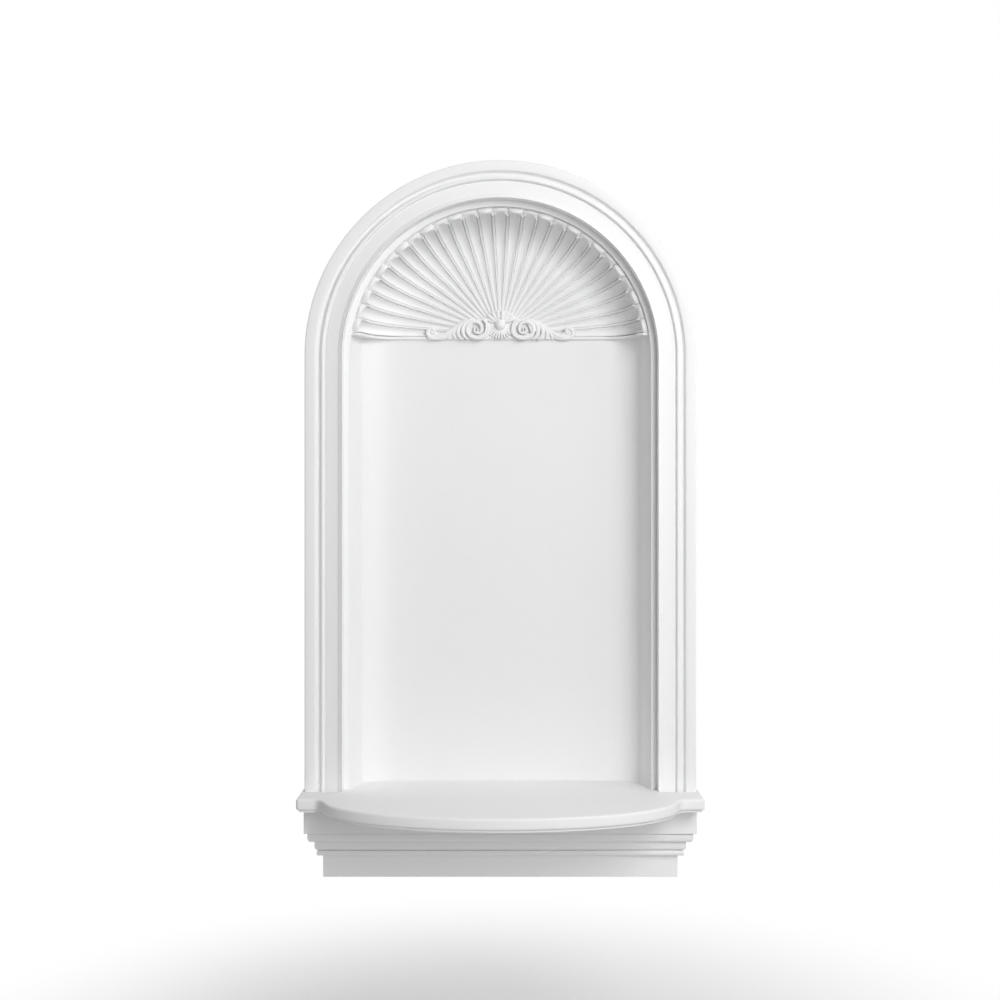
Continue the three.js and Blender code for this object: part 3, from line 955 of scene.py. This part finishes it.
@dataclass
class Shelf:
    """The shelf board: an outline drawn as a face, raised to its thickness, with its front edges rounded."""

    levels: Levels
    ear_length: float = 33.5 * MM
    ear_depth: float = 100 * MM
    bow_depth: float = 165 * MM
    bow_width: float = 676 * MM
    blend: float = 26 * MM
    upper_round: float = 5 * MM
    lower_round: float = 5.4 * MM
    corner_round: float = 6 * MM
    nose_steps: int = 7
    fillet: float = 3.6 * MM
    bow_steps: int = 96
    blend_steps: int = 14
    seat_spare: float = 3 * MM
    seat_steps: int = 10
    crease_angle: float = 38

    def front_edge(self) -> list[tuple[float, float]]:
        """Plan of the right half of the front.

        Returns:
            The points from the middle of the bow to the wall.
        """
        half_width = self.levels.shelf_half
        half_bow = self.bow_width / 2
        blend_angle = math.asin(self.blend / self.bow_depth)
        start = (half_bow * math.cos(blend_angle), -self.ear_depth - self.blend)
        run = half_bow * math.sin(blend_angle) * self.blend / (self.bow_depth * math.cos(blend_angle))
        pull = (start[0] + run, -self.ear_depth)
        end = (half_width - self.ear_length, -self.ear_depth)
        bow = arc((0.0, -self.ear_depth), (half_bow, self.bow_depth),
                  (-90, -math.degrees(blend_angle)), self.bow_steps // 2)
        curve = []
        for step in range(1, self.blend_steps + 1):
            t = step / self.blend_steps
            weights = ((1 - t) ** 2, 2 * t * (1 - t), t * t)
            curve.append(tuple(
                weights[0] * start[i] + weights[1] * pull[i] + weights[2] * end[i] for i in (0, 1)
            ))
        return [*bow, *curve, (half_width, -self.ear_depth), (half_width, 0.0)]

    def seat_plan(self, recess: Recess) -> list[tuple[float, float]]:
        """Plan of the shallow seat that the casing and the recess stand in.

        Args:
            recess: The recess that stands on the shelf.

        Returns:
            The outline of the whole horseshoe, which runs past the board's own back.
        """
        spare, steps = self.seat_spare, self.seat_steps
        crease = recess.mouth_half - recess.side_splay
        back = crease - recess.corner_width
        rise = recess.depth - recess.side_depth
        inner = arc((back, recess.side_depth), (recess.corner_width - JOINT, rise - JOINT), (90, 0), steps)
        outer = arc((back + recess.wall, recess.side_depth + recess.wall),
                    (recess.corner_width + spare, rise + spare), (0, 90), steps)
        casing_outer = self.levels.casing_half + JOINT
        casing_inner = self.levels.casing_half - self.levels.casing_width - JOINT
        front = [
            (recess.mouth_half - JOINT, 0.0),
            (recess.mouth_half - JOINT, self.levels.front - JOINT),
            (casing_inner, self.levels.front - JOINT),
            (casing_inner, self.levels.casing_front - JOINT),
            (casing_outer, self.levels.casing_front - JOINT),
            (casing_outer, spare),
            (recess.mouth_half + recess.wall + spare, spare),
        ]
        right = [(0.0, recess.depth - JOINT), *inner, *front, *outer,
                 (0.0, recess.depth + recess.wall + spare)]
        return self.both_halves(right)

    def both_halves(self, right: list[tuple[float, float]]) -> list[tuple[float, float]]:
        """A plan's right half and its mirror image, as one outline."""
        return right + [(-x, y) for x, y in reversed(right) if x > SAME_POINT]

    def cut_seat(self, piece: bpy.types.Object, recess: Recess) -> None:
        """Cut the seat into the top of the board.

        Args:
            piece: The board.
            recess: The recess that stands on the shelf.
        """
        floor = self.levels.seat - JOINT
        rise = 2 * (self.levels.shelf_top - floor)
        cutter = slab("seat", [(x, y, floor) for x, y in self.seat_plan(recess)], (0, 0, rise))
        apply_modifier(piece, "BOOLEAN", operation="DIFFERENCE", solver="EXACT", object=cutter)
        only(cutter)
        bpy.ops.object.delete()

    def round_off(self, size: float) -> None:
        """Round the edges that are selected and leave edit mode."""
        bpy.ops.mesh.bevel(offset=size, segments=self.nose_steps, profile=0.5, affect="EDGES")
        leave_edit()

    def build(self, recess: Recess) -> bpy.types.Object:
        """Model the shelf.

        Args:
            recess: The recess whose outside plan the back of the board follows.

        Returns:
            The finished mesh object.
        """
        plan = self.both_halves(self.front_edge() + recess.outer_plan())
        under = self.levels.shelf_under + self.fillet
        thickness = self.levels.shelf_top - under
        piece = slab("bowed_shelf", [(x, y, under) for x, y in plan], (0, 0, thickness))
        ear_end = self.levels.shelf_half - NEAR
        ear_front = -self.ear_depth + NEAR
        pick(piece, Kind.EDGE, lambda a, b: abs(a.z - b.z) > NEAR and abs(a.x) > ear_end and a.y < ear_front)
        self.round_off(self.corner_round)
        for level, size in ((self.levels.shelf_top, self.upper_round), (under, self.lower_round)):
            pick(
                piece, Kind.EDGE,
                lambda a, b: max(abs(a.z - level), abs(b.z - level)) < NEAR
                and max(a.y, b.y) < NEAR and min(a.y, b.y) <= -NEAR,
            )
            self.round_off(size)
        pick(piece, Kind.FACE, lambda centre, normal: normal.z < -0.99 and centre.z < under + NEAR)
        push((0, 0, -self.fillet))
        leave_edit()
        self.cut_seat(piece, recess)
        smooth(piece, self.crease_angle)
        return piece


# The apron


@dataclass
class Apron:
    """The stepped apron: a plate at the top, pushed down member by member, with returns at both ends."""

    frieze: float = 51.5 * MM
    ovolo: float = 18 * MM
    band: float = 19 * MM
    bead: float = 11 * MM
    base: float = 44 * MM
    ovolo_inset: float = 6 * MM
    ovolo_roll: float = 5.5 * MM
    ovolo_flat: float = 0.42
    ovolo_steps: int = 10
    band_inset: float = 7 * MM
    band_roll: float = 7 * MM
    band_flat: float = 0.5
    band_steps: int = 9
    bead_bulge: float = 3.5 * MM
    bead_steps: int = 12
    base_inset: float = 8 * MM
    arris: float = 0.6 * MM
    quirk_depth: float = 2.6 * MM
    quirk_height: float = 1.8 * MM
    crease_angle: float = 35

    def quirk(self, level: float, inset: float) -> list[tuple[float, float]]:
        """The dark groove over a member.

        Args:
            level: Height of the groove's top below the apron's top.
            inset: How far in the member stands.

        Returns:
            Height and inset of each point, down to the arris of the member itself.
        """
        under = level + self.quirk_height
        back = inset + self.quirk_depth
        return [(level, back), (under, back), (under, inset + self.arris), (under + self.arris, inset)]

    def profile(self) -> list[tuple[float, float]]:
        """The profile of the apron, from the top down.

        Returns:
            Height below the top and distance in from the frieze of each point.
        """
        ovolo_top = self.frieze
        band_top = ovolo_top + self.ovolo
        bead_top = band_top + self.band
        base_top = bead_top + self.bead
        band_start = self.ovolo_inset + self.ovolo_roll + self.band_inset
        bead_start = band_start + self.band_roll
        base_in = bead_start + self.base_inset
        a = self.arris
        points = [(0.0, a), (a, 0.0), (ovolo_top - a, 0.0), (ovolo_top, a)]
        points += self.quirk(ovolo_top, self.ovolo_inset)
        flat = self.ovolo * self.ovolo_flat
        points += arc((ovolo_top + flat, self.ovolo_inset + self.ovolo_roll),
                      (self.ovolo - flat, self.ovolo_roll), (-90, 0), self.ovolo_steps)[1:]
        points += self.quirk(band_top, band_start)
        flat = self.band * self.band_flat
        points += arc((band_top + flat, bead_start), (self.band - flat, self.band_roll), (-90, 0),
                      self.band_steps)
        points += [(bead_top, bead_start + self.quirk_depth), (bead_top + a, bead_start + self.quirk_depth)]
        half_bead = (self.bead - a) / 2
        points += arc((bead_top + a + half_bead, bead_start), (half_bead, self.bead_bulge), (180, 360),
                      self.bead_steps)
        points += [(base_top, bead_start), (base_top, base_in + a), (base_top + a, base_in)]
        points += [(base_top + self.base - a, base_in), (base_top + self.base, base_in + a)]
        return points

    def build(self) -> bpy.types.Object:
        """Model the apron.

        Returns:
            The finished mesh object.
        """
        low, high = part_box("apron")
        half, depth = high.x, -low.y
        profile = self.profile()
        deselect()
        bpy.ops.mesh.primitive_plane_add(size=2, location=(0, 0, 0))
        piece = named("stepped_apron")
        inset = profile[0][1]
        corners = corners_of(piece)
        corners[:, 0] = np.sign(corners[:, 0]) * (half - inset)
        corners[:, 1] = np.where(corners[:, 1] < 0, -(depth - inset), 0.0)
        corners[:, 2] = high.z
        put_corners(piece, corners)
        edit(piece, Kind.FACE)
        fallen = 0.0
        for fall, next_inset in profile[1:]:
            push((0, 0, fallen - fall))
            grow = ((half - next_inset) / (half - inset), (depth - next_inset) / (depth - inset), 1)
            bpy.ops.transform.resize(value=grow, center_override=(0, 0, high.z - fall))
            fallen, inset = fall, next_inset
        leave_edit()
        close_up(piece)
        smooth(piece, self.crease_angle)
        return piece


# The ornament


@dataclass(frozen=True)
class Stroke:
    """A round member of the ornament: the points it follows, in millimetres across and above the foot.

    The radius runs from the start over the middle to the end, and rise is how far the middle of the
    member stands in front of the ornament's own middle plane.
    """

    points: tuple[tuple[float, float], ...]
    radii: tuple[float, float, float]
    rise: float = 0.0


@dataclass
class Ornament:
    """The applied scroll ornament: strokes of one half are run as round members and mirrored."""

    levels: Levels
    drop: float = 7.5 * MM
    middle_depth: float = 73 * MM
    back: float = 79.7 * MM
    ledge_front: float = 75 * MM
    plate_front: float = 73.6 * MM
    foot_cut: float = 0.9375 * MM
    voxel: float = 0.85 * MM
    ball_radius: float = 10.6 * MM
    ball_rise: float = 32.5 * MM
    ball_front: float = 2.65 * MM
    ray_count: int = 5
    ray_lean: tuple[float, float] = (6.5, 13)
    ray_reaches: tuple[float, ...] = (8.0, 18.0, 28.0)
    ray_spread: float = 1.05
    crease_angle: float = 60
    strokes: list[Stroke] = field(init=False)

    def __post_init__(self) -> None:
        """Work out the foot and draw the half's strokes."""
        self.foot = self.levels.spring + self.levels.ledge_rise - self.drop
        self.strokes = [*self.volute(), *self.folds(), *self.arm(), *self.crest(), *self.rays()]

    def volute(self) -> list[Stroke]:
        """The large volute, which winds in to a round eye.

        Returns:
            The strokes of its band, of the line inside it, of its eye and of the fold in its turn.
        """
        band = (
            (35, 43), (27, 36), (23.5, 26), (26, 13), (36, 6), (50, 5), (62, 10), (68, 20), (66, 31),
            (57, 38.5), (46.5, 38.5), (39, 32), (37, 22.5), (42, 15.5), (50, 15.5), (54, 22), (50.5, 28.5),
        )
        inner = ((30, 38), (28, 26), (31, 15), (40, 9.5), (52, 9), (60, 14))
        return [
            Stroke(band, (3.0, 4.3, 2.3), 4.5),
            Stroke(inner, (1.2, 1.8, 1.2), 6.5),
            Stroke(((45.5, 22.5), (46.5, 22.5), (47.5, 22.5)), (4.8, 5.0, 4.8), 4.5),
            Stroke(((56, 32), (62, 26), (61, 18)), (1.2, 2.2, 1.2), 5.0),
        ]

    def folds(self) -> list[Stroke]:
        """The leaf outside the volute.

        Returns:
            The strokes of its crescent folds, from the volute out to the leaf's tip.
        """
        return [
            Stroke(((60, 42), (70, 37.5), (76, 28), (76.5, 17), (72, 7.5), (65, 3.5)), (1.8, 4.6, 2.2), 3.8),
            Stroke(((70, 40), (80, 34), (85.5, 24.5), (86, 14), (81, 5.5), (75, 3)), (1.6, 4.4, 2.0), 2.8),
            Stroke(((81, 34), (90, 27.5), (94.5, 19), (95, 10), (91, 4.5)), (1.5, 3.8, 1.8), 1.5),
            Stroke(((88, 29), (98, 21.5), (104, 12), (105, 3.5)), (1.6, 4.0, 1.0), 1.0),
        ]

    def arm(self) -> list[Stroke]:
        """The arm that runs out along the ledge and ends in a small curl.

        Returns:
            The strokes of the arm, of its underside and of the eye of its curl.
        """
        outer = (
            (52, 43), (68, 43), (84, 34), (99, 22.5), (112, 12.5), (124, 7), (136, 5.5), (145, 9), (148, 17),
            (144, 25), (136.5, 26), (132, 20.5), (134.5, 15), (139, 15.5),
        )
        return [
            Stroke(outer, (2.4, 4.6, 2.2), 0.5),
            Stroke(((100, 14), (112, 7), (124, 4.2), (134, 4.0)), (3.0, 3.6, 2.6), -0.5),
            Stroke(((138, 18), (139, 18), (140, 18)), (2.6, 2.8, 2.6), 1.5),
        ]

    def crest(self) -> list[Stroke]:
        """The crest over the ball.

        Returns:
            The strokes of its leaves, which fan out from behind the ball.
        """
        return [
            Stroke(((3.2, 42), (4.6, 52), (5.2, 60)), (2.4, 4.9, 4.0), 5.4),
            Stroke(((6, 41), (12, 50), (15.5, 56.5)), (2.4, 4.8, 3.6), 4.2),
            Stroke(((9, 39.5), (18.5, 46.5), (24.5, 51)), (2.2, 4.5, 3.2), 3.4),
            Stroke(((12, 38), (23, 42), (31, 44.5)), (2.0, 3.6, 2.2), 2.2),
        ]

    def rays(self) -> list[Stroke]:
        """The rays under the ball.

        Returns:
            Their strokes, which fan out down to the foot.
        """
        rays = []
        first, step = self.ray_lean
        for number in range(self.ray_count):
            lean = math.radians(first + step * number)
            points = tuple(
                (math.sin(lean) * reach * self.ray_spread, self.ball_rise / MM - math.cos(lean) * reach)
                for reach in self.ray_reaches
            )
            rays.append(Stroke(points, (1.0, 1.7, 2.3), 3.5 - 0.5 * number))
        return rays

    def run(self, stroke: Stroke) -> bpy.types.Object:
        """Make one round member.

        Args:
            stroke: What it follows and how thick it is.

        Returns:
            The mesh object.
        """
        deselect()
        bpy.ops.curve.primitive_nurbs_path_add()
        member = named("member")
        curve = member.data
        curve.splines.clear()
        spline = curve.splines.new("NURBS")
        last = len(stroke.points) - 1
        spline.points.add(last)
        depth = self.middle_depth - stroke.rise * MM
        radii = np.interp(np.linspace(0, 1, last + 1), (0, 0.5, 1), stroke.radii)
        for point, (x, z), radius in zip(spline.points, stroke.points, radii):
            point.co = (x * MM, depth, self.foot + z * MM, 1.0)
            point.radius = radius
        spline.use_endpoint_u = True
        spline.order_u = min(3, len(stroke.points))
        spline.resolution_u = 6
        curve.dimensions = "3D"
        curve.bevel_depth = MM
        curve.bevel_resolution = 4
        curve.use_fill_caps = True
        only(member)
        bpy.ops.object.convert(target="MESH")
        return member

    def backing(self) -> bpy.types.Object:
        """Model the thin plate that joins the members, as a face pushed forwards.

        Returns:
            The mesh object.
        """
        half = (
            (0, 4), (18, 6), (30, 3), (50, 2), (66, 5), (80, 4.5), (98, 3.5), (108, 7), (120, 4), (136, 4),
            (146, 10), (146, 19), (140, 25), (132, 22), (124, 15), (114, 17), (96, 27), (74, 40), (50, 44),
            (31, 48), (23, 56), (12, 61.5), (0, 63),
        )
        right = [(x * MM, self.back, self.foot + z * MM) for x, z in half]
        outline = right + [(-x, y, z) for x, y, z in reversed(right) if x > 0]
        return slab("backing", outline, (0, self.plate_front - self.back, 0))

    def trim_back(self, piece: bpy.types.Object) -> None:
        """Flatten the back, which stands on the ledge and hangs in front of it with its foot.

        Args:
            piece: The joined ornament.
        """
        corners = corners_of(piece)
        on_ledge = self.levels.spring + self.levels.ledge_rise + self.levels.ledge_height / 2 + JOINT
        limit = np.where(corners[:, 2] < on_ledge, self.ledge_front - JOINT, self.back)
        corners[:, 1] = np.minimum(corners[:, 1], limit)
        corners[:, 2] = np.maximum(corners[:, 2], self.foot + self.foot_cut)
        put_corners(piece, corners)

    def twin(self, member: bpy.types.Object) -> bpy.types.Object:
        """Copy a member to the other half.

        Args:
            member: The member.

        Returns:
            Its mirror image, with its own mesh.
        """
        only(member)
        bpy.ops.object.duplicate()
        copy = bpy.context.object
        put_corners(copy, corners_of(copy) * (-1, 1, 1))
        edit(copy)
        bpy.ops.mesh.flip_normals()
        leave_edit()
        return copy

    def build(self) -> bpy.types.Object:
        """Model the ornament.

        Returns:
            The finished mesh object.
        """
        members = []
        for stroke in self.strokes:
            member = self.run(stroke)
            members += [member, self.twin(member)]
        deselect()
        bpy.ops.mesh.primitive_uv_sphere_add(
            segments=48, ring_count=32, radius=self.ball_radius,
            location=(0, self.middle_depth - self.ball_front, self.foot + self.ball_rise),
        )
        ball = named("ball")
        bpy.ops.object.transform_apply(location=True, rotation=True, scale=True)
        members += [ball, self.backing()]
        deselect()
        for member in members:
            member.select_set(True)
        bpy.context.view_layer.objects.active = members[-1]
        bpy.ops.object.join()
        piece = named("scroll_ornament")
        apply_modifier(piece, "REMESH", mode="VOXEL", voxel_size=self.voxel)
        apply_modifier(piece, "SMOOTH", factor=0.5, iterations=2)
        self.trim_back(piece)
        smooth(piece, self.crease_angle)
        return piece


# The stage


@dataclass(frozen=True)
class SoftLamp:
    """A soft square lamp, placed by its bearing from the front and its height angle, in degrees."""

    name: str
    bearing: float
    height: float
    power: float
    distance: float = 3.0
    size: float = 1.1

    def hang(self, target: Point) -> None:
        """Hang the lamp so that it faces a point.

        Args:
            target: The point that it faces.
        """
        bearing, height = math.radians(self.bearing), math.radians(self.height)
        away = Vector((
            math.sin(bearing) * math.cos(height), -math.cos(bearing) * math.cos(height), math.sin(height),
        ))
        deselect()
        bpy.ops.object.light_add(type="AREA", location=Vector(target) + away * self.distance)
        lamp = named(self.name)
        lamp.data.shape = "SQUARE"
        lamp.data.size = self.size
        lamp.data.energy = self.power
        lamp.rotation_euler = (-away).to_track_quat("-Z", "Y").to_euler()


@dataclass(frozen=True)
class Studio:
    """A plain pale floor, soft light from the upper right, and a level camera at the photo's angle.

    The floor turns into a painted glow, as bright as the room in that direction, from the first to the
    second distance in fade.
    """

    eye: Point = (-0.0006, -2.782, 0.66745)
    lens: float = 50.76
    sensor: float = 36.0
    floor_drop: float = 0.42
    floor_size: float = 120.0
    floor_grey: float = 0.88
    floor_roughness: float = 0.9
    fade: tuple[float, float] = (0.2, 1.4)
    room_front: float = 0.295
    room_back: float = 1.0
    turn: tuple[float, float] = (0.3, 0.8)
    floor_turn: tuple[float, float] = (0.0, 0.35)
    target: Point = (0.0, 0.0, 0.65)
    lamps: tuple[SoftLamp, ...] = (
        SoftLamp("key", 25, 25, 36),
        SoftLamp("low_key", 20, 5, 23),
        SoftLamp("side_key", 60, 38, 16),
    )

    def glow(self, depth_share: Flow, turn: tuple[float, float]) -> Flow:
        """Brightness in a direction, for the room's light and the floor's painted glow: white behind the
        niche, dimmer on the room's side.

        Args:
            depth_share: Share of the direction that points into the wall.
            turn: Shares at which the brightness starts and stops rising.

        Returns:
            The brightness.
        """
        return depth_share.between(*turn) * (self.room_back - self.room_front) + self.room_front

    def floor(self) -> None:
        """Lay the floor under the niche. Far away it turns into a painted glow as bright as the room in that
        direction.
        """
        deselect()
        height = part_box("apron")[0].z - self.floor_drop
        bpy.ops.mesh.primitive_plane_add(size=self.floor_size, location=(0, 0, height))
        plane = named("floor")
        bpy.ops.object.transform_apply(location=True, rotation=True, scale=True)
        paint = PaintTree("pale_floor")
        paint.set_input(paint.shader, "Base Color", (self.floor_grey,) * 3 + (1.0,))
        paint.set_input(paint.shader, "Roughness", self.floor_roughness)
        place = paint.node("ShaderNodeTexCoord", {}, {}, "Object")
        flat = paint.node("ShaderNodeVectorMath", {"operation": "MULTIPLY"}, {0: place, 1: (1, 1, 0)})
        away = paint.node("ShaderNodeVectorMath", {"operation": "LENGTH"}, {0: flat}, "Value")
        depth = paint.node("ShaderNodeSeparateXYZ", {}, {"Vector": flat}, "Y")
        # Painted glow: the far floor emits light, bright where it lies behind the niche and dim on the
        # room's side.
        share = self.glow(depth / (away + 0.01), self.floor_turn)
        glow = paint.node("ShaderNodeEmission", {}, {"Strength": share})
        shares = {"Fac": away.between(*self.fade), 1: Flow(paint, paint.shader.outputs[0]), 2: glow}
        paint.set_input(paint.output, "Surface", paint.node("ShaderNodeMixShader", {}, shares))
        plane.data.materials.append(paint.material)

    def room(self) -> None:
        """Fill the surroundings with soft light."""
        world = bpy.data.worlds.new("pale_room")
        world.use_nodes = True
        maker = NodeMaker(world.node_tree)
        direction = maker.node("ShaderNodeTexCoord", {}, {}, "Generated")
        depth = maker.node("ShaderNodeSeparateXYZ", {}, {"Vector": direction}, "Y")
        maker.set_input(world.node_tree.nodes["Background"], "Strength", self.glow(depth, self.turn))
        maker.set_input(world.node_tree.nodes["Background"], "Color", (1.0, 1.0, 1.0, 1.0))
        bpy.context.scene.world = world
        bpy.context.scene.view_settings.view_transform = "Standard"

    def camera(self) -> None:
        """Set up the level camera in front of the niche."""
        deselect()
        bpy.ops.object.camera_add(location=self.eye, rotation=(math.pi / 2, 0, 0))
        camera = named("photo_view")
        camera.data.lens = self.lens
        camera.data.sensor_width = self.sensor
        bpy.context.scene.camera = camera

    def build(self) -> None:
        """Set up floor, light and camera."""
        self.floor()
        self.room()
        for lamp in self.lamps:
            lamp.hang(self.target)
        self.camera()


def main() -> None:
    """Build the niche piece by piece and set the stage."""
    logging.basicConfig(level=logging.INFO, format="%(name)s: %(message)s")
    levels = Levels.from_frame()
    recess_paint = FlatWhite("flat_white_recess", (0.86, 0.86, 0.86), (0.82, 0.82, 0.825), 0.62)
    moulding_paint = FlatWhite("flat_white_moulding", (0.88, 0.88, 0.88), (0.84, 0.84, 0.845), 0.55)
    ornament_paint = FlatWhite(
        "flat_white_ornament", (0.87, 0.87, 0.865), (0.83, 0.83, 0.83), 0.6, wave_size=9 * MM,
        wave_height=0.06 * MM,
    )
    recess = Recess(levels)
    moulding = moulding_paint.material()
    hand_in(recess.build(), "recess_shell", recess_paint.material())
    hand_in(Casing(levels).build(), "arched_surround", moulding)
    hand_in(Shelf(levels).build(recess), "shelf", moulding)
    hand_in(Apron().build(), "apron", moulding)
    hand_in(Ornament(levels).build(), "cartouche", ornament_paint.material())
    Studio().build()


if __name__ == "__main__":
    main()
